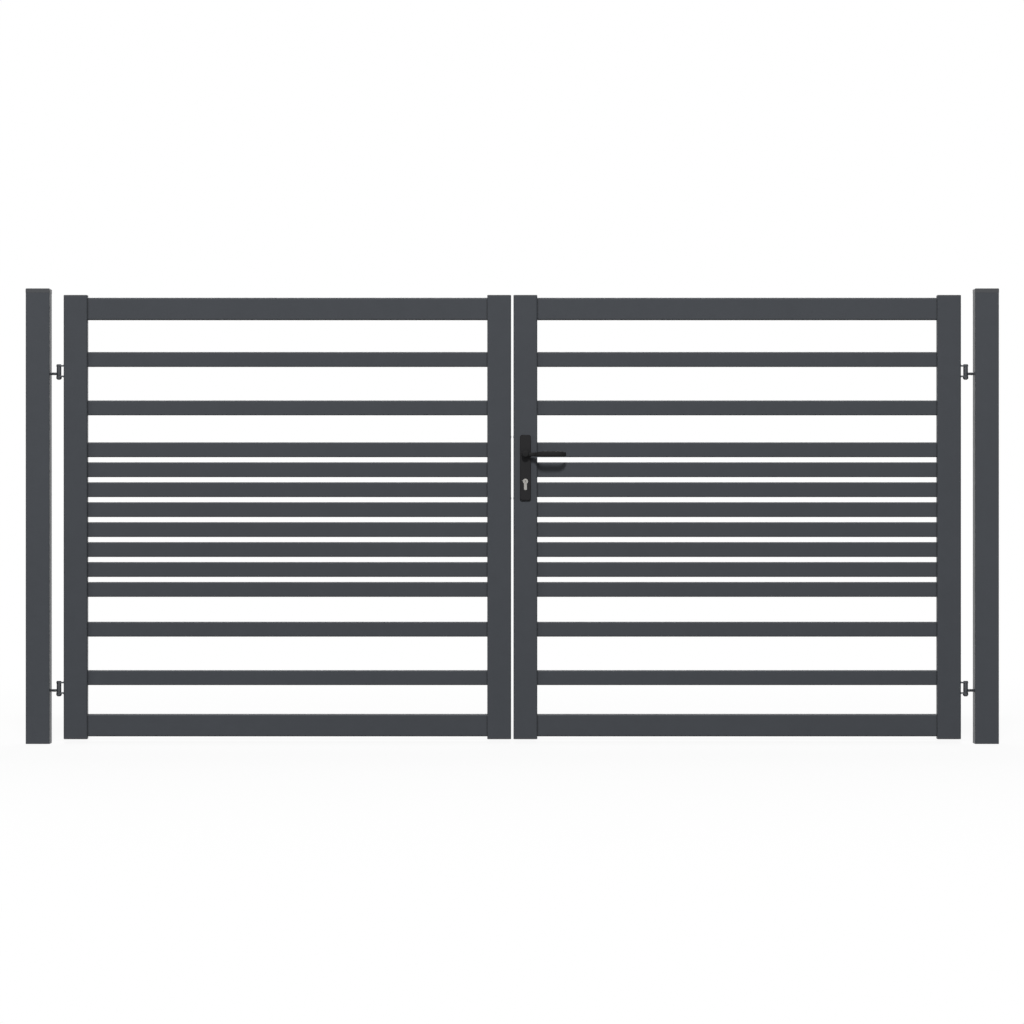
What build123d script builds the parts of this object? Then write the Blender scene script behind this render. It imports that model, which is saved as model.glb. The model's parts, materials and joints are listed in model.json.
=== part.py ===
from build123d import *
import os

# A two-leaf slatted gate between its posts, in millimetres. The origin is the middle of the left
# post's foot at ground level. +X runs along the gate to the right post, +Y to the back, +Z up.

# Leaf frame: stiles and rails of rounded rectangular tube
leaf_width = 1501.0
leaf_height = 1490.0
leaf_gap = 8.0  # between the two meeting stiles
ground_clearance = 15.0
stile_width = 80.0
stile_depth = 40.0
rail_height = 75.0
rail_depth = 30.0
rail_inset = 9.0  # from the end of the stiles to the outer edge of a rail
frame_wall = 2.0
frame_radius = 5.0
stile_cap_height = 4.0
stile_cap_edge = 1.5
stile_cap_plug = 12.0
plug_clearance = 0.2

# Slats: a close-set band about the leaf's middle, with wider steps above and below it
slat_height = 50.0
slat_depth = 20.0
slat_wall = 1.5
slat_radius = 4.0
close_count = 8
close_pitch = 67.0
close_drop = 8.5  # the band's middle lies this far below the leaf's
upper_step = 140.5  # from the band's highest slat to the next above it
lower_step = 133.5  # from the band's lowest slat to the next below it
far_step = 162.5

# Posts
post_width = 80.0
post_wall = 3.0
post_radius = 3.0
post_rise = 7.0  # the post's tube ends this far above the leaves
hinge_gap = 45.0  # from a post's inner face to the leaf
post_cap_height = 14.0
post_cap_overhang = 0.5
post_cap_wall = 3.0
post_cap_plug = 18.0
post_cap_edge = 2.0

# Hinges: an eye bolt from the post between two lugs of the stile, on one pin
pin_offset = 17.0  # from the leaf's edge to the pin's axis
pin_radius = 5.0
pin_head_radius = 8.0
pin_head_height = 3.0
pin_head_edge = 1.0
pin_tail = 1.0  # the pin's end below its nut
nut_across_flats = 16.0
nut_height = 8.0
nut_tip_radius = 6.0  # the nut tapers to this at its lower end
nut_clearance = 0.05
lug_thickness = 5.0
lug_radius = 9.0
lug_space = 30.0  # clear height between the lugs of a hinge
lug_below_rod = 6.0  # from the rod's axis down to the lower lug
eye_radius = 8.0
rod_radius = 5.0
rod_anchor = 22.0  # length of the rod inside the post's face
rod_hole_clearance = 0.2
upper_hinge_drop = 264.0  # from the leaf's upper end to the rod's axis
lower_hinge_rise = 163.0  # from the leaf's lower end to the rod's axis
running_clearance = 0.1
face_clearance = 0.3

# Lever set on the right meeting stile
lever_rise = 957.0  # from the leaf's lower end to the lever's axis
plate_width = 37.0
plate_height = 220.0
plate_thickness = 9.0
plate_corner = 8.0
plate_edge = 2.5
plate_above_axis = 63.5
collar_radius = 15.0
collar_height = 2.5
collar_edge = 1.0
hub_radius = 12.0
hub_height = 25.0  # from the plate's face to the hub's outer end
hub_setback = 2.0  # the hub's inner end stays this far off the stile
hub_edge = 4.5
lever_standoff = 46.0  # from the plate's face to the middle of the grip
lever_reach = 137.0
neck_standoff = 14.5  # from the plate's face to the middle of the neck
neck_length = 18.0
neck_height = 17.0
neck_depth = 14.0
grip_start = 60.0  # the bow ends here
grip_height = 19.0
grip_depth = 11.5
tip_length = 22.0
tip_height = 11.0
tip_depth = 6.5
tip_return = 22.0  # the tip bends this far back towards the leaf
return_length = 44.0  # from where the grip starts to bend back to its tip
tip_drop = 4.0  # its upper edge falls off while the lower edge stays level
tip_edge = 1.2
bow_stations = 14  # cross-sections from the neck to the grip
tip_stations = 10
grip_flat = 1.38  # left on the grip's upper and lower edge between its rounded corners
spindle_size = 8.0
spindle_grip = 20.0  # length of the spindle in each lever
spindle_hole_radius = 12.0

# Profile cylinder, lock front and strike plate
cylinder_drop = 92.0  # from the lever's axis to the middle of the plug
cylinder_height = 38.0
cylinder_radius = 8.5
cylinder_web = 9.0
cylinder_stand = 2.0  # how far the cylinder stands out of each plate
keyway_width = 2.4
keyway_height = 9.0
keyway_depth = 20.0
fitting_clearance = 0.3
stile_cut_clearance = 1.5
lock_front_width = 22.0
lock_front_height = 230.0
lock_front_thickness = 3.0
lock_front_corner = 5.0
bolt_width = 12.0
bolt_length = 24.0
latch_height = 28.0
latch_rise = 12.0  # the latch's middle above the lever's axis
dead_bolt_height = 34.0
dead_bolt_drop = 50.0  # the dead bolt's middle below the lever's axis
strike_margin = 1.5  # the strike's openings are this much larger all round

# Places that follow from the sizes above
leaf_low = ground_clearance
leaf_high = leaf_low + leaf_height
leaf_middle = leaf_low + leaf_height / 2
post_top = leaf_high + post_rise
hinge_edge = post_width / 2 + hinge_gap
meeting_edge = hinge_edge + leaf_width
gate_middle = meeting_edge + leaf_gap / 2
infill_start = hinge_edge + stile_width
infill_length = leaf_width - 2 * stile_width
pin_x = hinge_edge - pin_offset
rod_heights = [leaf_high - upper_hinge_drop, leaf_low + lower_hinge_rise]
right_edge = meeting_edge + leaf_gap
handle_x = right_edge + stile_width / 2
lever_z = leaf_low + lever_rise
lock_z = lever_z - cylinder_drop / 2
stile_face = stile_depth / 2
mirror_plane = Plane.YZ.offset(gate_middle)


def tube_section(width, depth, wall, radius):
    return RectangleRounded(width, depth, radius) - Rectangle(width - 2 * wall, depth - 2 * wall)


def upright(x, low, high, width, depth, wall, radius):
    section = Plane((x, 0, low)) * tube_section(width, depth, wall, radius)
    return extrude(section, amount=high - low)


def crossbar(z, height, depth, wall, radius):
    end = Plane(origin=(infill_start, 0, z), x_dir=(0, 1, 0), z_dir=(1, 0, 0))
    return extrude(end * tube_section(depth, height, wall, radius), amount=infill_length)


def rod_along_z(x, low, high, radius):
    return extrude(Plane((x, 0, low)) * Circle(radius), amount=high - low)


def front_plane(y):
    """Plane at the lever's axis that faces the front, with +X to the right and +Z up."""
    return Plane(origin=(handle_x, y, lever_z), x_dir=(1, 0, 0), z_dir=(0, -1, 0))


def frame_stile(x):
    low = leaf_low + stile_cap_height
    high = leaf_high - stile_cap_height
    return upright(x, low, high, stile_width, stile_depth, frame_wall, frame_radius)


def rail(z):
    return crossbar(z, rail_height, rail_depth, frame_wall, frame_radius)


def slat(z):
    return crossbar(z, slat_height, slat_depth, slat_wall, slat_radius)


def stile_cap(x):
    """Cap on the upper end of a stile, with a plug inside the tube."""
    seat = Plane((x, 0, leaf_high - stile_cap_height))
    head = extrude(seat * RectangleRounded(stile_width, stile_depth, frame_radius), amount=stile_cap_height)
    head = chamfer(head.faces().sort_by(Axis.Z)[-1].edges(), stile_cap_edge)
    inset = 2 * (frame_wall + plug_clearance)
    plug = Rectangle(stile_width - inset, stile_depth - inset)
    return head + extrude(seat * plug, amount=-stile_cap_plug)


def post():
    tube = upright(0, 0, post_top, post_width, post_width, post_wall, post_radius)
    for z in rod_heights:
        wall = Plane(origin=(post_width / 2 - post_wall, 0, z), x_dir=(0, 1, 0), z_dir=(1, 0, 0))
        tube -= extrude(wall * Circle(rod_radius + rod_hole_clearance), amount=post_wall)
    return tube


def post_cap():
    """Hollow cap on the post's upper end, with a plug inside the tube."""
    size = post_width + 2 * post_cap_overhang
    seat = Plane((0, 0, post_top))
    outline = RectangleRounded(size, size, post_radius + post_cap_overhang)
    head = extrude(seat * outline, amount=post_cap_height)
    head = chamfer(head.faces().sort_by(Axis.Z)[-1].edges(), post_cap_edge)
    plug_size = post_width - 2 * (post_wall + plug_clearance)
    plug = extrude(seat * Rectangle(plug_size, plug_size), amount=-post_cap_plug)
    pocket_size = plug_size - 2 * post_cap_wall
    foot = Plane((0, 0, post_top - post_cap_plug))
    pocket_height = post_cap_plug + post_cap_height - post_cap_wall
    pocket = extrude(foot * Rectangle(pocket_size, pocket_size), amount=pocket_height)
    return head + plug - pocket


def hinge_eye(z):
    """Rod out of the post's face that ends in the hinge's upright eye."""
    low = z - lug_below_rod + face_clearance
    high = z - lug_below_rod + lug_space - face_clearance
    start = Plane(origin=(post_width / 2 - rod_anchor, 0, z), x_dir=(0, 1, 0), z_dir=(1, 0, 0))
    rod = extrude(start * Circle(rod_radius), amount=pin_x - post_width / 2 + rod_anchor)
    bore = rod_along_z(pin_x, low, high, pin_radius + running_clearance)
    return rod + rod_along_z(pin_x, low, high, eye_radius) - bore


def hinge_lug(low):
    """Flat lug welded to the stile's edge, round about the pin."""
    seat = Plane((pin_x, 0, low))
    tongue = Pos(pin_offset / 2, 0) * Rectangle(pin_offset, 2 * lug_radius)
    outline = tongue + Circle(lug_radius) - Circle(pin_radius + running_clearance)
    return extrude(seat * outline, amount=lug_thickness)


def lower_lug(z):
    return hinge_lug(z - lug_below_rod - lug_thickness)


def upper_lug(z):
    return hinge_lug(z - lug_below_rod + lug_space)


def nut_low(z):
    return z - lug_below_rod - lug_thickness - nut_height


def hinge_pin(z):
    top = z - lug_below_rod + lug_space + lug_thickness
    head = rod_along_z(pin_x, top, top + pin_head_height, pin_head_radius)
    head = chamfer(head.faces().sort_by(Axis.Z)[-1].edges(), pin_head_edge)
    return head + rod_along_z(pin_x, nut_low(z) - pin_tail, top, pin_radius)


def hinge_nut(z):
    seat = Plane((pin_x, 0, nut_low(z)))
    hexagon = RegularPolygon(nut_across_flats / 2, 6, major_radius=False)
    nut = extrude(seat * (hexagon - Circle(pin_radius + nut_clearance)), amount=nut_height)
    base = (Align.CENTER, Align.CENTER, Align.MIN)
    return nut & seat * Cone(nut_tip_radius, nut_tip_radius + nut_height, nut_height, align=base)


def cylinder_section(clearance):
    """Round plug housing with the web below it, seen from the front."""
    foot = cylinder_radius + cylinder_web / 2 - cylinder_height
    web = Pos(0, foot / 2) * Rectangle(cylinder_web + 2 * clearance, -foot)
    tail = Pos(0, foot) * Circle(cylinder_web / 2 + clearance)
    return Pos(0, -cylinder_drop) * (Circle(cylinder_radius + clearance) + web + tail)


def lock_cylinder():
    reach = stile_face + plate_thickness + cylinder_stand
    body = extrude(front_plane(0) * cylinder_section(0), amount=reach, both=True)
    keyway = Pos(0, -cylinder_drop) * Rectangle(keyway_width, keyway_height)
    body -= extrude(front_plane(-reach) * keyway, amount=-keyway_depth)
    return body - extrude(front_plane(reach) * keyway, amount=keyway_depth)


def handle_plate():
    """Long front plate with a collar for the lever and the cylinder's cut-out."""
    seat = front_plane(-stile_face)
    middle = Pos(0, plate_above_axis - plate_height / 2)
    outline = middle * RectangleRounded(plate_width, plate_height, plate_corner)
    plate = extrude(seat * outline, amount=plate_thickness)
    plate = chamfer(plate.faces().sort_by(Axis.Y)[0].edges(), plate_edge)
    through = plate_thickness + collar_height
    collar = extrude(seat * Circle(collar_radius), amount=through)
    plate += chamfer(collar.faces().sort_by(Axis.Y)[0].edges(), collar_edge)
    plate -= extrude(seat * Circle(hub_radius + running_clearance), amount=through)
    return plate - extrude(seat * cylinder_section(fitting_clearance), amount=plate_thickness)


def eased(share):
    """0 to 1 with level ends, held at 0 and 1 outside them."""
    held = min(max(share, 0), 1)
    return held * held * (3 - 2 * held)


def spaced(start, end, count):
    return [start + (end - start) * i / (count - 1) for i in range(count)]


def towards_tip(along, length):
    """0 up to a length before the lever's tip and 1 at the tip, ever steeper."""
    return eased((along - lever_reach + length) / (2 * length)) * 2


def grip_station(along):
    """Cross-section of the bowed grip at one distance from the lever's axis."""
    bow = eased((along - neck_length) / (grip_start - neck_length))
    taper = towards_tip(along, tip_length)
    height = neck_height + (grip_height - neck_height) * bow - (grip_height - tip_height) * taper
    depth = neck_depth + (grip_depth - neck_depth) * bow - (grip_depth - tip_depth) * taper
    standoff = neck_standoff + (lever_standoff - neck_standoff) * bow
    standoff -= tip_return * towards_tip(along, return_length)
    middle = (handle_x + along, -stile_face - plate_thickness - standoff, lever_z - tip_drop * taper)
    place = Plane(origin=middle, x_dir=(0, 1, 0), z_dir=(1, 0, 0))
    corner = depth * (grip_depth - grip_flat) / (2 * grip_depth)
    return place * RectangleRounded(depth, height, corner)


def lever():
    """Front lever: a short round hub and a grip that bows out from it, with a returned tip."""
    inner = front_plane(-stile_face - hub_setback)
    hub = extrude(inner * Circle(hub_radius), amount=plate_thickness - hub_setback + hub_height)
    hub = fillet(hub.faces().sort_by(Axis.Y)[0].edges(), hub_edge)
    bow = spaced(neck_length, grip_start, bow_stations)
    tip = spaced(lever_reach - return_length, lever_reach, tip_stations)
    grip = loft([grip_station(along) for along in [0, *bow, *tip]], ruled=True)
    grip = fillet(grip.faces().sort_by(Axis.X)[-1].edges(), tip_edge)
    socket = Rectangle(spindle_size + 2 * running_clearance, spindle_size + 2 * running_clearance)
    return hub + grip - extrude(inner * socket, amount=spindle_grip)


def lever_spindle():
    half = stile_face + hub_setback + spindle_grip - face_clearance
    return extrude(front_plane(0) * Rectangle(spindle_size, spindle_size), amount=half, both=True)


def edge_plane(x, inward):
    """Plane on a meeting stile's edge, with its normal pointing into the stile."""
    return Plane(origin=(x, 0, lock_z), x_dir=(0, inward, 0), z_dir=(inward, 0, 0))


def lock_front_outline(clearance):
    width = lock_front_width + 2 * clearance
    height = lock_front_height + 2 * clearance
    return RectangleRounded(width, height, lock_front_corner + clearance)


def bolt_section(height, rise, clearance):
    place = Pos(0, lever_z + rise - lock_z)
    return place * Rectangle(bolt_width + 2 * clearance, height + 2 * clearance)


def bolt_openings(clearance):
    latch = bolt_section(latch_height, latch_rise, clearance)
    return latch + bolt_section(dead_bolt_height, -dead_bolt_drop, clearance)


def lock_front_plate(x, inward, clearance):
    outline = lock_front_outline(0) - bolt_openings(clearance)
    return extrude(edge_plane(x, inward) * outline, amount=lock_front_thickness)


def lock_front_cut(x, inward):
    return extrude(edge_plane(x, inward) * lock_front_outline(fitting_clearance), amount=frame_wall)


def drawn_bolt(height, rise):
    return extrude(edge_plane(right_edge, 1) * bolt_section(height, rise, 0), amount=bolt_length)


def lock_stile():
    """Right meeting stile, cut for the lock's front, the spindle and the cylinder."""
    stile = frame_stile(handle_x) - lock_front_cut(right_edge, 1)
    stile -= extrude(front_plane(0) * Circle(spindle_hole_radius), amount=stile_depth, both=True)
    opening = front_plane(0) * cylinder_section(stile_cut_clearance)
    return stile - extrude(opening, amount=stile_depth, both=True)


def other_end(piece):
    """The same piece on the lower end of the leaf."""
    return mirror(piece, about=Plane.XY.offset(leaf_middle))


def other_side(piece):
    return mirror(piece, about=mirror_plane)


def to_back(piece):
    return mirror(piece, about=Plane.XZ)


def side_pieces():
    """Pieces of the left side that the right side repeats as a mirror image."""
    hinge_stile_x = hinge_edge + stile_width / 2
    meeting_stile_x = meeting_edge - stile_width / 2
    band_middle = leaf_middle - close_drop
    band_low = band_middle - (close_count - 1) * close_pitch / 2
    band_high = band_middle + (close_count - 1) * close_pitch / 2
    rail_offset = rail_inset + rail_height / 2
    caps = [stile_cap(hinge_stile_x), stile_cap(meeting_stile_x)]
    return {
        "post": [post()],
        "post_cap": [post_cap()],
        "hinge_eyes": [hinge_eye(z) for z in rod_heights],
        "hinge_stile": [frame_stile(hinge_stile_x)],
        "top_rail": [rail(leaf_high - rail_offset)],
        "bottom_rail": [rail(leaf_low + rail_offset)],
        "top_slat": [slat(band_high + upper_step + far_step)],
        "upper_slat": [slat(band_high + upper_step)],
        "middle_slats": [slat(band_low + i * close_pitch) for i in range(close_count)],
        "lower_slat": [slat(band_low - lower_step)],
        "bottom_slat": [slat(band_low - lower_step - far_step)],
        "stile_caps": caps + [other_end(cap) for cap in caps],
        "hinge_lugs": [lug(z) for z in rod_heights for lug in (lower_lug, upper_lug)],
        "hinge_pins": [hinge_pin(z) for z in rod_heights],
        "hinge_nuts": [hinge_nut(z) for z in rod_heights],
    }


def lock_pieces():
    """Pieces that only one leaf has."""
    strike_stile = frame_stile(meeting_edge - stile_width / 2)
    plate = handle_plate()
    front_lever = lever()
    return {
        "left_meeting_stile": [strike_stile - lock_front_cut(meeting_edge, -1)],
        "strike_plate": [lock_front_plate(meeting_edge, -1, strike_margin)],
        "right_meeting_stile": [lock_stile()],
        "lock_front": [lock_front_plate(right_edge, 1, fitting_clearance)],
        "lock_latch": [drawn_bolt(latch_height, latch_rise)],
        "lock_dead_bolt": [drawn_bolt(dead_bolt_height, -dead_bolt_drop)],
        "lock_cylinder": [lock_cylinder()],
        "front_handle_plate": [plate],
        "rear_handle_plate": [to_back(plate)],
        "front_lever": [front_lever],
        "rear_lever": [to_back(front_lever)],
        "lever_spindle": [lever_spindle()],
    }


nodes = lock_pieces()
for name, pieces in side_pieces().items():
    nodes["left_" + name] = pieces
    nodes["right_" + name] = [other_side(piece) for piece in pieces]

os.makedirs("parts", exist_ok=True)
for name, pieces in nodes.items():
    export_step(Compound(children=pieces), os.path.join("parts", name + ".step"))
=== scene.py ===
import json
import math
from collections import namedtuple

import bmesh
import bpy
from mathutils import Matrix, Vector


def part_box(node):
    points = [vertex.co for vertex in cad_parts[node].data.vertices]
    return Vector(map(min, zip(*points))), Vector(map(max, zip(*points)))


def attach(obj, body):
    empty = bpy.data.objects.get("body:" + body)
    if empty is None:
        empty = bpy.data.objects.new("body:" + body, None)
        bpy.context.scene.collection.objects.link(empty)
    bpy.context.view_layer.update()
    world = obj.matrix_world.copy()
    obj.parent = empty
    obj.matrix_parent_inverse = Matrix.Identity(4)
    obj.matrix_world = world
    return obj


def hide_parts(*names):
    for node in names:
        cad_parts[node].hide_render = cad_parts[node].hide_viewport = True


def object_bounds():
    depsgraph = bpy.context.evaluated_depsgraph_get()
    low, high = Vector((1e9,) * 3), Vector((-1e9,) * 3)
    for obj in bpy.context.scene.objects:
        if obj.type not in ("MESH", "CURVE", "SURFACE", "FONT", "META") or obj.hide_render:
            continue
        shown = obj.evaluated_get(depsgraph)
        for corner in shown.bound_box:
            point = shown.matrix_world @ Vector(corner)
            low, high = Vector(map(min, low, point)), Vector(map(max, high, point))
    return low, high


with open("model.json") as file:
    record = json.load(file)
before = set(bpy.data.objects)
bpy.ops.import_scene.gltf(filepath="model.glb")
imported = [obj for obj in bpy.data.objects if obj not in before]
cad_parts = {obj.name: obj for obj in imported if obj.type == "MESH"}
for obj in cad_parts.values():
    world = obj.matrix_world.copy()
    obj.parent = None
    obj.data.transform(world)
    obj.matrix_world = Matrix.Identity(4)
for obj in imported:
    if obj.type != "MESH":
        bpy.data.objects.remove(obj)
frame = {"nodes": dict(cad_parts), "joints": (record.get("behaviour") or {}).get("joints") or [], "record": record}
cad_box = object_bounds()

# Lengths are in metres, in the frame of the gate: +X along it to the right post, +Y to its back, +Z up.
MM = 0.001
TINY = 0.01 * MM

# Places on the gate
joint_at = {joint["name"]: Vector(joint["pos_m"]) for joint in frame["joints"]}
left_pin = joint_at["left_leaf_swing"]
lever_axis = joint_at["lever_turn"]
gate_middle = (left_pin.x + joint_at["right_leaf_swing"].x) / 2
gate_height = cad_box[1].z

# Photograph's view and light
VIEW_POINT = Vector((gate_middle - 1 * MM, -15.42, 777 * MM))
LENS_MM = 161.45
SENSOR_MM = 36.0
KEY_ELEVATION = math.radians(37.5)
KEY_DISTANCE = 25.0
KEY_SPREAD = math.radians(7.8)
KEY_POWER = 4680.0
SIDE_TURN = math.radians(-65)  # from straight in front, to the left
SIDE_ELEVATION = math.radians(12)
SIDE_DISTANCE = 12.0
SIDE_SIZE = 4.0
SIDE_POWER = 220.0
FILL_ELEVATION = math.radians(40)
FILL_DISTANCE = 14.0
FILL_SIZE = 9.0
FILL_POWER = 900.0
AMBIENT_LEVEL = 0.10
FLOOR_SIZE = 80.0
FLOOR_GLOW = 0.9
FLOOR_FADE_START = 2.5
FLOOR_FADE_LENGTH = 4.0

# Colours, linear
ANTHRACITE = (0.0492, 0.0543, 0.0630)
POST_GREY = (0.0522, 0.0575, 0.0665)
HINGE_GREY = (0.0640, 0.0690, 0.0780)
CAP_GREY = (0.064, 0.067, 0.073)
BLACK = (0.012, 0.012, 0.013)
LEVER_BLACK = (0.0185, 0.0185, 0.0190)
ZINC = (0.42, 0.43, 0.44)
NICKEL = (0.36, 0.35, 0.33)
FLOOR_MATT = (0.15, 0.15, 0.15)
FLOOR_WHITE = (0.95, 0.95, 0.95)
WHITE = (1.0, 1.0, 1.0)

# Layers of noise in the finishes. The scale is in features to a metre. Tone, roughness and relief say how
# far the layer sways each of them, and stretch scales the coordinates along each axis.
EVEN = (1.0, 1.0, 1.0)
LONG_UPRIGHT = (1.0, 1.0, 0.25)
LINES_UPRIGHT = (1.0, 1.0, 0.04)
LINES_LEVEL = (0.06, 1.0, 1.0)
NOISE_MIDDLE = 0.5
Layer = namedtuple("Layer", "scale detail tone roughness relief stretch", defaults=(0.0, 0.0, 0.0, EVEN))
SLOW_DRIFT = Layer(scale=2.5, detail=2, tone=0.5)
PATCHES = Layer(scale=28, detail=3, tone=0.35, roughness=0.10)
SANDY_GRAIN = Layer(scale=1500, detail=3, tone=0.7, roughness=0.16, relief=0.4)
ORANGE_PEEL = Layer(scale=330, detail=2, relief=0.6)
FLOW_MARKS = Layer(scale=45, detail=3, tone=0.5, roughness=0.08, stretch=LONG_UPRIGHT)
SPARK_GRAIN = Layer(scale=2600, detail=2, tone=0.6, roughness=0.12, relief=1.0)
UPRIGHT_BRUSHING = Layer(scale=2200, detail=3, tone=0.9, roughness=0.2, relief=1.0, stretch=LINES_UPRIGHT)
LEVEL_BRUSHING = UPRIGHT_BRUSHING._replace(stretch=LINES_LEVEL)
DULL_SPOTS = Layer(scale=120, detail=3, tone=0.5, roughness=0.12)

# Grains of the finishes. Dark and pale are shares of the colour, and bump and depth give the relief.
MIDDLE_TONE = 0.5  # halfway between dark and pale
Grain = namedtuple("Grain", "layers dark pale bump depth")
POWDER_LAYERS = (SLOW_DRIFT, PATCHES, SANDY_GRAIN, ORANGE_PEEL)
POWDER_COAT = Grain(POWDER_LAYERS, dark=0.86, pale=1.14, bump=0.25, depth=0.25 * MM)
MOULDED_PLASTIC = Grain((FLOW_MARKS, SPARK_GRAIN), dark=0.9, pale=1.1, bump=0.3, depth=0.12 * MM)
UPRIGHT_BRUSHED = Grain((UPRIGHT_BRUSHING, DULL_SPOTS), dark=0.8, pale=1.12, bump=0.15, depth=0.05 * MM)
LEVEL_BRUSHED = UPRIGHT_BRUSHED._replace(layers=(LEVEL_BRUSHING, DULL_SPOTS))

# Painted shade: a dark line in the coat where a bar meets a stile, standing in for the shade that falls in that
# corner
PAINTED_SHADE_WIDTH = 4.0 * MM
PAINTED_SHADE_STRENGTH = 0.75

# Turns of a piece that was made along +Z, so that it points this way
POINT_FRONT = (math.pi / 2, 0, 0)
POINT_BACK = (-math.pi / 2, 0, 0)
POINT_BACK_UPRIGHT = (math.pi / 2, 0, math.pi)  # with its +Y side up, as at the front
POINT_LEFT = (0, -math.pi / 2, 0)
POINT_RIGHT = (0, math.pi / 2, 0)

# Eye bolts of the hinges
EYE_HEIGHT = 29.4 * MM
EYE_SIDES = 48
BORE_RADIUS = 5.1 * MM
EYE_EDGE = 0.9 * MM
EYE_EDGE_STEPS = 3
ROD_RISE = 5.7 * MM  # from the eye's lower end to the rod's axis
ROD_SIDES = 16
THREAD_RADIUS = 4.55 * MM
THREAD_PITCH = 1.5 * MM
THREAD_SWING = 0.45 * MM  # half the thread's depth
THREAD_STEPS = 16  # to a turn
SHANK_LENGTH = 5.0 * MM
SHANK_SIDES = 32
FLARE_LENGTH = 2.5 * MM
FLARE_RADIUS = 6.0 * MM

# Lever. Each row is a section across its grip, in mm: its distance along the gate from the lever's axis,
# its distance out from the plate's face, its rise, its depth and its height.
Section = namedtuple("Section", "along out rise depth height")
GRIP_SECTIONS = (
    (16, 14.5, -2.2, 12.5, 13.0),
    (30, 16.0, -2.2, 12.0, 13.0),
    (38, 25.5, -1.9, 11.0, 14.0),
    (44, 36.5, -1.4, 11.0, 16.0),
    (53, 45.0, -0.7, 11.2, 18.2),
    (66, 46.0, -0.4, 11.5, 19.0),
    (104, 46.0, -0.4, 11.5, 19.0),
    (117, 44.4, -0.6, 11.0, 18.4),
    (126, 37.5, -1.1, 10.0, 16.8),
    (131, 28.0, -1.7, 9.0, 15.0),
    (133, 20.0, -2.2, 8.0, 13.0),
)
GRIP_CORNER = 2.3 * MM
GRIP_ROUNDING = 2  # levels of subdivision
TIP_EDGE = 2.0 * MM
HUB_RADIUS = 12.0 * MM
HUB_SIDES = 72
HUB_HEIGHT = 25.0 * MM
HUB_EDGE = 4.5 * MM
HUB_EDGE_STEPS = 5
HUB_SETBACK = 2.0 * MM  # the hub's inner end stays this far off the stile
PLATE_THICKNESS = 9.0 * MM
SOCKET = 8.2 * MM
SOCKET_DEPTH = 20.0 * MM
SEAM_MERGE = 0.15 * MM  # closer points where grip and hub join are merged

# Welds
RIPPLE = 2.0 * MM
BEAD_LOW = 1.8 * MM
BEAD_HIGH = 2.3 * MM
BEAD_SIDES = 12
BEAD_DIGITS = 4  # decimals of a bead's length: bars alike to 0.1 mm share one bead
BAR_CORNER = 4.0 * MM
CLOSE_SLATS = 8
LUG_SPAN = 40.0 * MM  # from the lower lug's underside to the upper lug's top
LUG_WELD = 14.0 * MM

# Cylinder plugs and screws
CYLINDER_DROP = 92.0 * MM  # from the lever's axis to the plug's
PLUG_RADIUS = 6.6 * MM
PLUG_SIDES = 64
PLUG_STAND = 0.5 * MM
PLUG_EDGE = 0.25 * MM
PLUG_EDGE_STEPS = 2
KEYWAY = Vector((1.7, 4.0, 8.2)) * MM
WARD = Vector((2.3, 4.0, 2.2)) * MM
WARD_RISE = 1.6 * MM
SCREW_RADIUS = 4.2 * MM
SCREW_SIDES = 40
SCREW_SEAT = 0.4 * MM
SCREW_DOME = ((0.8, 0.40), (1.0, 0.30), (1.1, 0.12))  # inward and outward steps of the oval head, in mm
RECESS = Vector((4.4, 0.95, 2.4)) * MM
SCREW_INSET = 12.0 * MM

# Modelling
SQUARE_ON = 0.9  # least part of a face's normal along the axis that it faces
SMOOTH_ANGLE = math.radians(35)


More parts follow.
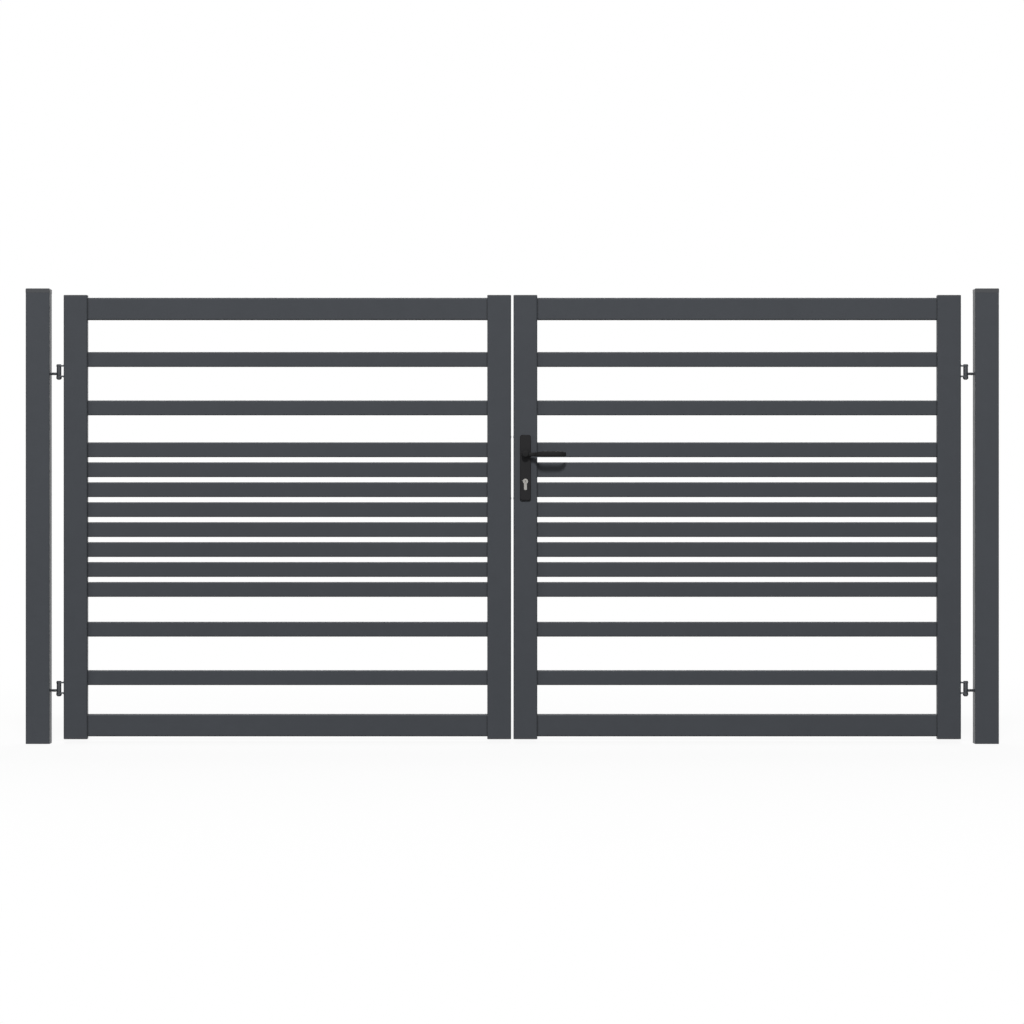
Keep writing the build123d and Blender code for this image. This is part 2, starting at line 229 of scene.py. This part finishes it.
class Shade:
    """An output socket of a node tree. Arithmetic on it adds Math nodes to the tree."""

    def __init__(self, tree, socket=None):
        self.tree = tree
        self.socket = socket

    def node(self, kind, settings={}, sockets={}, out=0):
        """Adds a node, sets its settings, then its sockets' values or links, and returns one output."""
        made = self.tree.nodes.new(kind)
        for name, value in settings.items():
            setattr(made, name, value)
        for name, value in sockets.items():
            if isinstance(value, Shade):
                self.tree.links.new(value.socket, made.inputs[name])
            else:
                made.inputs[name].default_value = value
        return Shade(self.tree, None if out is None else made.outputs[out])

    def math(self, operation, first, second=0.0):
        return self.node("ShaderNodeMath", {"operation": operation}, {0: first, 1: second})

    def __add__(self, other):
        return self.math("ADD", self, other)

    def __sub__(self, other):
        return self.math("SUBTRACT", self, other)

    def __rsub__(self, other):
        return self.math("SUBTRACT", other, self)

    def __mul__(self, other):
        return self.math("MULTIPLY", self, other)

    __radd__ = __add__
    __rmul__ = __mul__

    def held(self):
        """The same value, held between 0 and 1."""
        return self.math("MINIMUM", self.math("MAXIMUM", self, 0.0), 1.0)

    def sway(self, share):
        """A noise's swing to either side of 0, times a share."""
        return (self - NOISE_MIDDLE) * share

    def feed(self, node, socket):
        self.tree.links.new(self.socket, node.inputs[socket])

    def coordinates(self, stretch=EVEN):
        """The piece's own coordinates, in metres, scaled along its axes."""
        own = self.node("ShaderNodeTexCoord", out="Object")
        return self.node("ShaderNodeMapping", {}, {"Vector": own, "Scale": stretch})

    def noise(self, layer):
        """The noise of a layer, between 0 and 1."""
        vector = self.coordinates(layer.stretch)
        sockets = {"Vector": vector, "Scale": layer.scale, "Detail": layer.detail}
        return self.node("ShaderNodeTexNoise", {}, sockets)

    def tones(self, factor, first, second):
        """Colour between two tones."""
        return self.node("ShaderNodeMix", {"data_type": "RGBA"}, {0: factor, 6: first, 7: second}, out=2)

    def near_bar_ends(self):
        """1 at the stiles, where the slats and rails end, and 0 a little way along them: the mask of the painted
        shade there.
        """
        low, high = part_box("left_top_slat")
        half_bar = (high.x - low.x) / 2
        bar_offset = gate_middle - (low.x + high.x) / 2
        along = self.node("ShaderNodeSeparateXYZ", {}, {"Vector": self.coordinates()}, out="X")
        from_gate_middle = self.math("ABSOLUTE", along - gate_middle)
        from_bar_middle = self.math("ABSOLUTE", from_gate_middle - bar_offset)
        return ((from_bar_middle - half_bar) * (1 / PAINTED_SHADE_WIDTH) + 1.0).held()

    def bump(self, height, strength, distance):
        sockets = {"Height": height, "Strength": strength, "Distance": distance}
        return self.node("ShaderNodeBump", {}, sockets)

    def mix(self, factor, first, second):
        return self.node("ShaderNodeMixShader", {}, {0: factor, 1: first, 2: second})

    def background_rays(self):
        """1 where the camera, a reflection or glass looks at the surroundings, and else 0."""
        seen = self.node("ShaderNodeLightPath", out="Is Camera Ray")
        reflected = self.node("ShaderNodeLightPath", out="Is Glossy Ray")
        through = self.node("ShaderNodeLightPath", out="Is Transmission Ray")
        return self.math("MAXIMUM", self.math("MAXIMUM", seen, reflected), through)


def tint(colour, share=1.0):
    """A share of a colour, opaque."""
    return (*(channel * share for channel in colour), 1.0)


def new_finish(name, colour, grain, roughness, specular=0.5, metallic=0.0, painted_shade_at_bar_ends=False):
    """Finish whose tone, roughness and relief sway with its grain, with painted shade at the bars' ends where they
    meet the stiles when asked for.
    """
    material = bpy.data.materials.new(name)
    material.use_nodes = True
    shader = material.node_tree.nodes["Principled BSDF"]
    shader.inputs["Specular IOR Level"].default_value = specular
    shader.inputs["Metallic"].default_value = metallic
    shade = Shade(material.node_tree)
    tone, dullness, height = MIDDLE_TONE, roughness, 0.0
    for layer in grain.layers:
        noise = shade.noise(layer)
        if layer.tone:
            tone += noise.sway(layer.tone)
        if layer.roughness:
            dullness += noise.sway(layer.roughness)
        if layer.relief:
            height += noise * layer.relief
    coat = shade.tones(tone, tint(colour, grain.dark), tint(colour, grain.pale))
    # Painted shade: the coat darkens towards black near the stiles, where a bar meets one
    if painted_shade_at_bar_ends:
        coat = shade.tones(shade.near_bar_ends() * PAINTED_SHADE_STRENGTH, coat, tint(colour, 0.0))
    coat.feed(shader, "Base Color")
    dullness.feed(shader, "Roughness")
    shade.bump(height, grain.bump, grain.depth).feed(shader, "Normal")
    return material


gate_coat = {"grain": POWDER_COAT, "roughness": 0.46, "specular": 0.25}
finishes = {
    "anthracite_coat": new_finish("anthracite_powder_coat", ANTHRACITE, **gate_coat),
    "black_coat": new_finish("satin_black_coat", BLACK, POWDER_COAT, roughness=0.55, specular=0.16),
    "black_plastic": new_finish("cap_plastic", CAP_GREY, MOULDED_PLASTIC, roughness=0.45, specular=0.30),
    "zinc_steel": new_finish("zinc_plated_steel", ZINC, UPRIGHT_BRUSHED, roughness=0.34, metallic=1.0),
    "nickel": new_finish("satin_nickel", NICKEL, LEVEL_BRUSHED, roughness=0.30, metallic=1.0),
}
# Coat of the slats and rails, with painted shade where they meet the stiles
bar_coat_with_painted_shade = new_finish("bar_powder_coat_painted_shade", ANTHRACITE, **gate_coat, painted_shade_at_bar_ends=True)
post_coat = new_finish("post_powder_coat", POST_GREY, **gate_coat)
hinge_coat = new_finish("hinge_powder_coat", HINGE_GREY, POWDER_COAT, roughness=0.32, specular=0.5)
lever_coat = new_finish("lever_black_coat", LEVER_BLACK, POWDER_COAT, roughness=0.6, specular=0.08)


def dress(piece, finish):
    piece.data.materials.clear()
    piece.data.materials.append(finish)


for row in frame["record"]["subparts"]:
    name = row["node"]
    finish = finishes[row["material_slot"]]
    if name.endswith(("_rail", "_slat", "_slats")):
        finish = bar_coat_with_painted_shade
    if name.endswith("_post"):
        finish = post_coat
    if name.endswith(("_lugs", "_pins", "_nuts", "_eyes")):
        finish = hinge_coat
    dress(frame["nodes"][name], finish)


# Hand tools for the modelled pieces

def only(*pieces):
    """Selects these pieces alone, the first of them active."""
    bpy.ops.object.select_all(action="DESELECT")
    for piece in pieces:
        piece.select_set(True)
    bpy.context.view_layer.objects.active = pieces[0]


def begin(name):
    """Names the primitive that was just added and opens it for editing."""
    piece = bpy.context.object
    piece.name = name
    bpy.ops.object.mode_set(mode="EDIT")
    return piece


def pick(kind, test):
    """While editing, selects only the edges or faces that pass a test."""
    bpy.ops.mesh.select_mode(type=kind)
    bpy.ops.mesh.select_all(action="DESELECT")
    data = bpy.context.edit_object.data
    mesh = bmesh.from_edit_mesh(data)
    for element in {"EDGE": mesh.edges, "FACE": mesh.faces}[kind]:
        if test(element):
            element.select_set(True)
    bmesh.update_edit_mesh(data)


def faces_up(face):
    return face.normal.z > SQUARE_ON


def faces_along_z(face):
    return abs(face.normal.z) > SQUARE_ON


def faces_right(face):
    return face.normal.x > SQUARE_ON


def runs_along_x(edge):
    first, second = (vertex.co for vertex in edge.verts)
    return abs(first.x - second.x) > TINY


def open_edge(edge):
    return edge.is_boundary


def extrude(rise, spread=1.0):
    """Draws the selection out along +Z and widens its new end."""
    bpy.ops.mesh.extrude_region_move(TRANSFORM_OT_translate={"value": (0, 0, rise)})
    bpy.ops.transform.resize(value=(spread, spread, 1), center_override=(0, 0, 0))


def turned(angle, centre):
    """Turns the selection about an upright axis, clockwise from above."""
    bpy.ops.transform.rotate(value=angle, orient_axis="Z", center_override=centre)


def close(merge=TINY):
    """Merges points this close, turns the faces outwards and ends editing."""
    bpy.ops.mesh.select_all(action="SELECT")
    bpy.ops.mesh.remove_doubles(threshold=merge)
    bpy.ops.mesh.normals_make_consistent(inside=False)
    bpy.ops.object.mode_set(mode="OBJECT")


def close_ends():
    """Fills the open ends of the active piece and closes it."""
    bpy.ops.object.mode_set(mode="EDIT")
    pick("EDGE", open_edge)
    bpy.ops.mesh.fill_holes(sides=0)
    close()


def place(piece, location, rotation=(0, 0, 0)):
    """Turns and moves a piece, and puts its place in its mesh."""
    only(piece)
    piece.rotation_euler = rotation
    piece.location = location
    bpy.ops.object.transform_apply(location=True, rotation=True, scale=True)


def twin(piece, location, rotation=(0, 0, 0)):
    """A copy with a mesh of its own, turned and moved."""
    only(piece)
    bpy.ops.object.duplicate(linked=False)
    copy = bpy.context.object
    place(copy, location, rotation)
    return copy


def mirrored(piece, name, scale, location):
    """A mirror image with a mesh of its own, its faces turned outwards."""
    only(piece)
    bpy.ops.object.duplicate(linked=False)
    copy = bpy.context.object
    copy.name = name
    copy.scale = scale
    place(copy, location)
    bpy.ops.object.mode_set(mode="EDIT")
    close()
    return copy


def across(piece, name):
    """The mirror image on the gate's other side."""
    return mirrored(piece, name, (-1, 1, 1), (2 * gate_middle, 0, 0))


def to_back(piece, name):
    """The mirror image on the gate's back."""
    return mirrored(piece, name, (1, -1, 1), (0, 0, 0))


def joined(name, pieces):
    only(*pieces)
    bpy.ops.object.join()
    whole = bpy.context.object
    whole.name = name
    return whole


def modify(piece, kind, settings):
    """Adds a modifier with its settings and applies it."""
    only(piece)
    bpy.ops.object.modifier_add(type=kind)
    modifier = piece.modifiers[-1]
    for name, value in settings.items():
        setattr(modifier, name, value)
    bpy.ops.object.modifier_apply(modifier=modifier.name)


def combine(piece, tool, operation):
    """Adds a second piece to the first or cuts it away, and removes it."""
    modify(piece, "BOOLEAN", {"operation": operation, "solver": "EXACT", "object": tool})
    bpy.data.objects.remove(tool)


def cut(piece, tool):
    combine(piece, tool, "DIFFERENCE")


def block(size, location):
    """A plain block to cut with."""
    bpy.ops.object.select_all(action="DESELECT")
    bpy.ops.mesh.primitive_cube_add(size=1)
    tool = bpy.context.object
    tool.scale = size
    place(tool, location)
    return tool


def fit(piece, body, slot, finish=None):
    """Smooths a finished piece, dresses it and sets it on the body that carries it."""
    only(piece)
    bpy.ops.object.shade_smooth_by_angle(angle=SMOOTH_ANGLE)
    dress(piece, finish or finishes[slot])
    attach(piece, body)


# Hinge eye bolts

def hinge_eye(radius):
    """Upright barrel with a bore and eased rims, its middle at the origin."""
    bpy.ops.object.select_all(action="DESELECT")
    bpy.ops.mesh.primitive_cylinder_add(vertices=EYE_SIDES, radius=radius, depth=EYE_HEIGHT)
    eye = begin("hinge_eye")
    pick("FACE", faces_along_z)
    bpy.ops.mesh.inset(thickness=radius - BORE_RADIUS)
    bpy.ops.mesh.bridge_edge_loops()

    def rim(edge):
        first, second = (vertex.co for vertex in edge.verts)
        level = abs(first.z - second.z) < TINY
        return level and abs(first.xy.length - second.xy.length) < TINY

    pick("EDGE", rim)
    bpy.ops.mesh.bevel(offset=EYE_EDGE, segments=EYE_EDGE_STEPS, affect="EDGES")
    close()
    return eye


def threaded_rod(length):
    """Rod along +Z from the origin: a circle off its axis, wound up along it, leaves a rolled thread."""
    bpy.ops.object.select_all(action="DESELECT")
    bpy.ops.mesh.primitive_circle_add(vertices=ROD_SIDES, radius=THREAD_RADIUS)
    rod = begin("threaded_rod")
    bpy.ops.transform.translate(value=(THREAD_SWING, 0, 0))
    bpy.ops.object.mode_set(mode="OBJECT")
    turns = round(length / THREAD_PITCH)
    modify(rod, "SCREW", {
        "axis": "Z",
        "angle": 2 * math.pi,
        "screw_offset": length / turns,
        "iterations": turns,
        "steps": THREAD_STEPS,
        "render_steps": THREAD_STEPS,
    })
    close_ends()
    return rod


def shank():
    """Plain end of the rod along +Z from the origin, flared to the eye."""
    bpy.ops.object.select_all(action="DESELECT")
    bpy.ops.mesh.primitive_circle_add(vertices=SHANK_SIDES, radius=THREAD_RADIUS, fill_type="NGON")
    piece = begin("shank")
    flare = FLARE_RADIUS / THREAD_RADIUS
    extrude(SHANK_LENGTH - FLARE_LENGTH)
    extrude(FLARE_LENGTH / 2, flare ** (1 / 4))
    extrude(FLARE_LENGTH / 2, flare ** (3 / 4))
    close()
    return piece


def make_eye_bolts():
    """Both bolts of each post, in place of the plain hinge eyes."""
    low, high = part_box("left_hinge_eyes")
    eye_radius = high.y
    shank_start = left_pin.x - eye_radius - SHANK_LENGTH + FLARE_LENGTH / 2
    rod_z = low.z + ROD_RISE
    eye = hinge_eye(eye_radius)
    place(eye, (left_pin.x, 0, low.z + EYE_HEIGHT / 2))
    rod = threaded_rod(shank_start - low.x)
    place(rod, (low.x, 0, rod_z), POINT_RIGHT)
    end = shank()
    place(end, (shank_start, 0, rod_z), POINT_RIGHT)
    lower = joined("lower_eye_bolt", [eye, rod, end])
    upper = twin(lower, (0, 0, high.z - EYE_HEIGHT - low.z))
    left = joined("left_eye_bolts", [lower, upper])
    right = across(left, "right_eye_bolts")
    for side, bolts in (("left", left), ("right", right)):
        fit(bolts, "posts", "anthracite_coat", hinge_coat)
        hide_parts(side + "_hinge_eyes")


# Lever

def lever_grip():
    """Grip drawn out to the right, its sections square to its path, then rounded by subdivision."""
    sections = [Section(*(value * MM for value in row)) for row in GRIP_SECTIONS]
    root = sections[0]
    bpy.ops.object.select_all(action="DESELECT")
    bpy.ops.mesh.primitive_cube_add(size=1)
    grip = begin("lever_grip")
    bpy.ops.transform.resize(value=(root.along, root.depth, root.height), center_override=(0, 0, 0))
    bpy.ops.transform.translate(value=(root.along / 2, -root.out, root.rise))
    pick("EDGE", runs_along_x)
    bpy.ops.mesh.bevel(offset=GRIP_CORNER, segments=1, affect="EDGES")
    pick("FACE", faces_right)
    heading = 0.0
    following = [*sections[2:], sections[-1]]
    for last, section, after in zip(sections, sections[1:], following):
        centre = (section.along, -section.out, section.rise)
        step = (section.along - last.along, last.out - section.out, section.rise - last.rise)
        growth = (1, section.depth / last.depth, section.height / last.height)
        bpy.ops.mesh.extrude_region_move(TRANSFORM_OT_translate={"value": step})
        turned(-heading, centre)
        bpy.ops.transform.resize(value=growth, center_override=centre)
        heading = math.atan2(after.out - last.out, after.along - last.along)
        turned(heading, centre)
    bpy.ops.mesh.inset(thickness=TIP_EDGE)
    close()
    modify(grip, "SUBSURF", {"levels": GRIP_ROUNDING, "render_levels": GRIP_ROUNDING})
    return grip


def lever_hub():
    """Round hub along +Z from the origin, its outer rim rounded."""
    bpy.ops.object.select_all(action="DESELECT")
    bpy.ops.mesh.primitive_circle_add(vertices=HUB_SIDES, radius=HUB_RADIUS, fill_type="NGON")
    hub = begin("lever_hub")
    extrude(PLATE_THICKNESS - HUB_SETBACK + HUB_HEIGHT)
    close()

    def outer_rim(edge):
        return all(vertex.co.z > HUB_HEIGHT for vertex in edge.verts)

    bpy.ops.object.mode_set(mode="EDIT")
    pick("EDGE", outer_rim)
    bpy.ops.mesh.bevel(offset=HUB_EDGE, segments=HUB_EDGE_STEPS, affect="EDGES")
    close()
    return hub


def make_levers():
    """Front and rear lever with a socket for the spindle, in place of the plainer ones."""
    plate_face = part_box("rear_handle_plate")[0].y + PLATE_THICKNESS
    foot = PLATE_THICKNESS - HUB_SETBACK
    front = lever_hub()
    place(front, (0, foot, 0), POINT_FRONT)
    combine(front, lever_grip(), "UNION")
    cut(front, block((SOCKET, 2 * SOCKET_DEPTH, SOCKET), (0, foot, 0)))
    bpy.ops.object.mode_set(mode="EDIT")
    close(SEAM_MERGE)
    front.name = "front_bowed_lever"
    place(front, (lever_axis.x, -plate_face, lever_axis.z))
    rear = to_back(front, "rear_bowed_lever")
    for side, lever in (("front", front), ("rear", rear)):
        fit(lever, "handle", "black_coat", lever_coat)
        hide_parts(side + "_lever")


# Welds

def weld_bead(length):
    """Row of weld ripples along +Z, its middle at the origin."""
    bpy.ops.object.select_all(action="DESELECT")
    bpy.ops.mesh.primitive_circle_add(vertices=BEAD_SIDES, radius=BEAD_LOW)
    bead = begin("weld_bead")
    extrude(RIPPLE / 2, BEAD_HIGH / BEAD_LOW)
    extrude(RIPPLE / 2, BEAD_LOW / BEAD_HIGH)
    bpy.ops.object.mode_set(mode="OBJECT")
    count = round(length / RIPPLE)
    modify(bead, "ARRAY", {
        "use_relative_offset": False,
        "use_constant_offset": True,
        "constant_offset_displace": (0, 0, RIPPLE),
        "count": count,
        "use_merge_vertices": True,
        "merge_threshold": TINY,
    })
    close_ends()
    place(bead, (0, 0, -count * RIPPLE / 2))
    return bead


def crossbars():
    """Lowest and highest corner of each slat and rail of the left leaf."""
    single = ("top_rail", "bottom_rail", "top_slat", "upper_slat", "lower_slat", "bottom_slat")
    bars = [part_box("left_" + name) for name in single]
    slat_low, slat_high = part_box("left_top_slat")
    height = slat_high.z - slat_low.z
    low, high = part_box("left_middle_slats")
    pitch = (high.z - low.z - height) / (CLOSE_SLATS - 1)
    for index in range(CLOSE_SLATS):
        foot = low.z + index * pitch
        bars.append((Vector((low.x, low.y, foot)), Vector((high.x, high.y, foot + height))))
    return bars


def make_welds():
    """Beads down the back of each bar's ends, and along the outer faces of the hinge lugs."""
    beads = []
    masters = {}
    for low, high in crossbars():
        length = round(high.z - low.z - 2 * BAR_CORNER, BEAD_DIGITS)
        if length not in masters:
            masters[length] = weld_bead(length)
        for x in (low.x, high.x):
            beads.append(twin(masters[length], (x, high.y, (low.z + high.z) / 2)))
    low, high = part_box("left_hinge_lugs")
    lug_bead = weld_bead(LUG_WELD)
    for z in (low.z, low.z + LUG_SPAN, high.z - LUG_SPAN, high.z):
        beads.append(twin(lug_bead, (high.x, 0, z), POINT_FRONT))
    for master in (*masters.values(), lug_bead):
        bpy.data.objects.remove(master)
    left = joined("left_leaf_welds", beads)
    right = across(left, "right_leaf_welds")
    fit(left, "left_leaf", "anthracite_coat")
    fit(right, "right_leaf", "anthracite_coat")


# Cylinder plugs and screws

def cylinder_plug():
    """Turning plug with an eased rim and its keyway, standing out along +Z from the origin."""
    bpy.ops.object.select_all(action="DESELECT")
    bpy.ops.mesh.primitive_cylinder_add(vertices=PLUG_SIDES, radius=PLUG_RADIUS, depth=2 * PLUG_STAND)
    plug = begin("cylinder_plug")
    pick("FACE", faces_up)
    bpy.ops.mesh.inset(thickness=PLUG_EDGE)

    def upper_rim(edge):
        return all(vertex.co.xy.length > PLUG_RADIUS - TINY and vertex.co.z > TINY for vertex in edge.verts)

    pick("EDGE", upper_rim)
    bpy.ops.mesh.bevel(offset=PLUG_EDGE / 2, segments=PLUG_EDGE_STEPS, affect="EDGES")
    close()
    cut(plug, block(KEYWAY.xzy, (0, 0, 0)))
    cut(plug, block(WARD.xzy, ((WARD.x - KEYWAY.x) / 2, WARD_RISE, 0)))
    return plug


def oval_screw():
    """Oval screw head with a cross recess, standing out along +Z from the origin."""
    bpy.ops.object.select_all(action="DESELECT")
    bpy.ops.mesh.primitive_cylinder_add(vertices=SCREW_SIDES, radius=SCREW_RADIUS, depth=SCREW_SEAT)
    screw = begin("oval_screw")
    pick("FACE", faces_up)
    for inward, outward in SCREW_DOME:
        bpy.ops.mesh.inset(thickness=inward * MM)
        bpy.ops.transform.translate(value=(0, 0, outward * MM))
    close()
    top = SCREW_SEAT / 2 + sum(outward for inward, outward in SCREW_DOME) * MM
    cut(screw, block(RECESS, (0, 0, top)))
    cut(screw, block(RECESS.yxz, (0, 0, top)))
    return screw


def make_plugs():
    """Turning plugs at both ends of the lock's cylinder."""
    front_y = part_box("lock_cylinder")[0].y
    plug_z = lever_axis.z - CYLINDER_DROP
    front = cylinder_plug()
    front.name = "front_cylinder_plug"
    rear = twin(front, (lever_axis.x, -front_y, plug_z), POINT_BACK_UPRIGHT)
    rear.name = "rear_cylinder_plug"
    place(front, (lever_axis.x, front_y, plug_z), POINT_FRONT)
    fit(front, "right_leaf", "nickel")
    fit(rear, "right_leaf", "nickel")


def make_screws():
    """Screws of the rear handle plate, the lock's front and the strike plate."""
    screw = oval_screw()

    def screw_pair(name, ends, seat, turn, body, slot):
        """Two screws, one near each end of a plate."""
        low_z, high_z = ends
        heights = (low_z + SCREW_INSET, high_z - SCREW_INSET)
        pair = joined(name, [twin(screw, (*seat, z), turn) for z in heights])
        fit(pair, body, slot)

    plate_low, plate_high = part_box("rear_handle_plate")
    front_low, front_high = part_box("lock_front")
    strike_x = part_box("strike_plate")[1].x
    plate_ends = (plate_low.z, plate_high.z)
    lock_ends = (front_low.z, front_high.z)
    plate_seat = (lever_axis.x, plate_low.y + PLATE_THICKNESS)
    screw_pair("rear_plate_screws", plate_ends, plate_seat, POINT_BACK, "right_leaf", "black_coat")
    screw_pair("lock_front_screws", lock_ends, (front_low.x, 0), POINT_LEFT, "right_leaf", "zinc_steel")
    screw_pair("strike_plate_screws", lock_ends, (strike_x, 0), POINT_RIGHT, "left_leaf", "zinc_steel")
    bpy.data.objects.remove(screw)


make_eye_bolts()
make_levers()
make_welds()
make_plugs()
make_screws()


# View, light and floor

def place_camera():
    camera = bpy.data.cameras.new("photo_view")
    camera.lens = LENS_MM
    camera.sensor_width = SENSOR_MM
    camera.clip_end = FLOOR_SIZE
    holder = bpy.data.objects.new("photo_view", camera)
    holder.location = VIEW_POINT
    holder.rotation_euler = (math.pi / 2, 0, 0)
    bpy.context.scene.collection.objects.link(holder)
    bpy.context.scene.camera = holder


def place_lamp(name, turn, elevation, distance, size, power):
    """Round soft lamp that looks at the gate's middle, turned about it from straight in front."""
    lamp = bpy.data.lights.new(name, "AREA")
    lamp.shape = "DISK"
    lamp.size = size
    lamp.energy = power
    holder = bpy.data.objects.new(name, lamp)
    level = math.cos(elevation) * distance
    reach = Vector((math.sin(turn) * level, -math.cos(turn) * level, math.sin(elevation) * distance))
    holder.location = Vector((gate_middle, 0, gate_height / 2)) + reach
    holder.rotation_euler = (math.pi / 2 - elevation, 0, turn)
    holder.visible_camera = False
    bpy.context.scene.collection.objects.link(holder)


def light_world():
    """White surroundings to look at, and a weaker even light from them."""
    world = bpy.data.worlds.new("studio")
    world.use_nodes = True
    tree = world.node_tree
    tree.nodes.clear()
    shade = Shade(tree)
    dim = shade.node("ShaderNodeBackground", {}, {"Color": tint(WHITE), "Strength": AMBIENT_LEVEL})
    white = shade.node("ShaderNodeBackground", {}, {"Color": tint(WHITE), "Strength": 1.0})
    surroundings = shade.mix(shade.background_rays(), dim, white)
    shade.node("ShaderNodeOutputWorld", {"is_active_output": True}, {"Surface": surroundings}, out=None)
    bpy.context.scene.world = world


def lay_floor():
    """Pale studio floor that keeps a soft shadow near the gate and fades to white away from it."""
    bpy.ops.object.select_all(action="DESELECT")
    bpy.ops.mesh.primitive_plane_add(size=FLOOR_SIZE, location=(gate_middle, 0, 0))
    floor = bpy.context.object
    floor.name = "studio_floor"
    material = bpy.data.materials.new("studio_floor")
    material.use_nodes = True
    tree = material.node_tree
    tree.nodes.clear()
    shade = Shade(tree)
    matt = shade.node("ShaderNodeBsdfDiffuse", {}, {"Color": tint(FLOOR_MATT)})
    pale = shade.node("ShaderNodeBsdfDiffuse", {}, {"Color": tint(FLOOR_WHITE)})
    glow = shade.node("ShaderNodeEmission", {}, {"Color": tint(WHITE), "Strength": 1.0})
    away = shade.node("ShaderNodeVectorMath", {"operation": "LENGTH"}, {0: shade.coordinates()}, out="Value")
    fade = ((away - FLOOR_FADE_START) * (1 / FLOOR_FADE_LENGTH)).held()
    seen = shade.mix(FLOOR_GLOW + fade * (1 - FLOOR_GLOW), pale, glow)
    surface = shade.mix(shade.background_rays(), matt, seen)
    shade.node("ShaderNodeOutputMaterial", {"is_active_output": True}, {"Surface": surface}, out=None)
    floor.data.materials.append(material)


place_camera()
key_size = 2 * KEY_DISTANCE * math.tan(KEY_SPREAD / 2)
place_lamp("key_light", 0, KEY_ELEVATION, KEY_DISTANCE, key_size, KEY_POWER)
place_lamp("left_edge_light", SIDE_TURN, SIDE_ELEVATION, SIDE_DISTANCE, SIDE_SIZE, SIDE_POWER)
place_lamp("back_fill", math.pi, FILL_ELEVATION, FILL_DISTANCE, FILL_SIZE, FILL_POWER)
light_world()
lay_floor()
bpy.context.scene.view_settings.view_transform = "Standard"
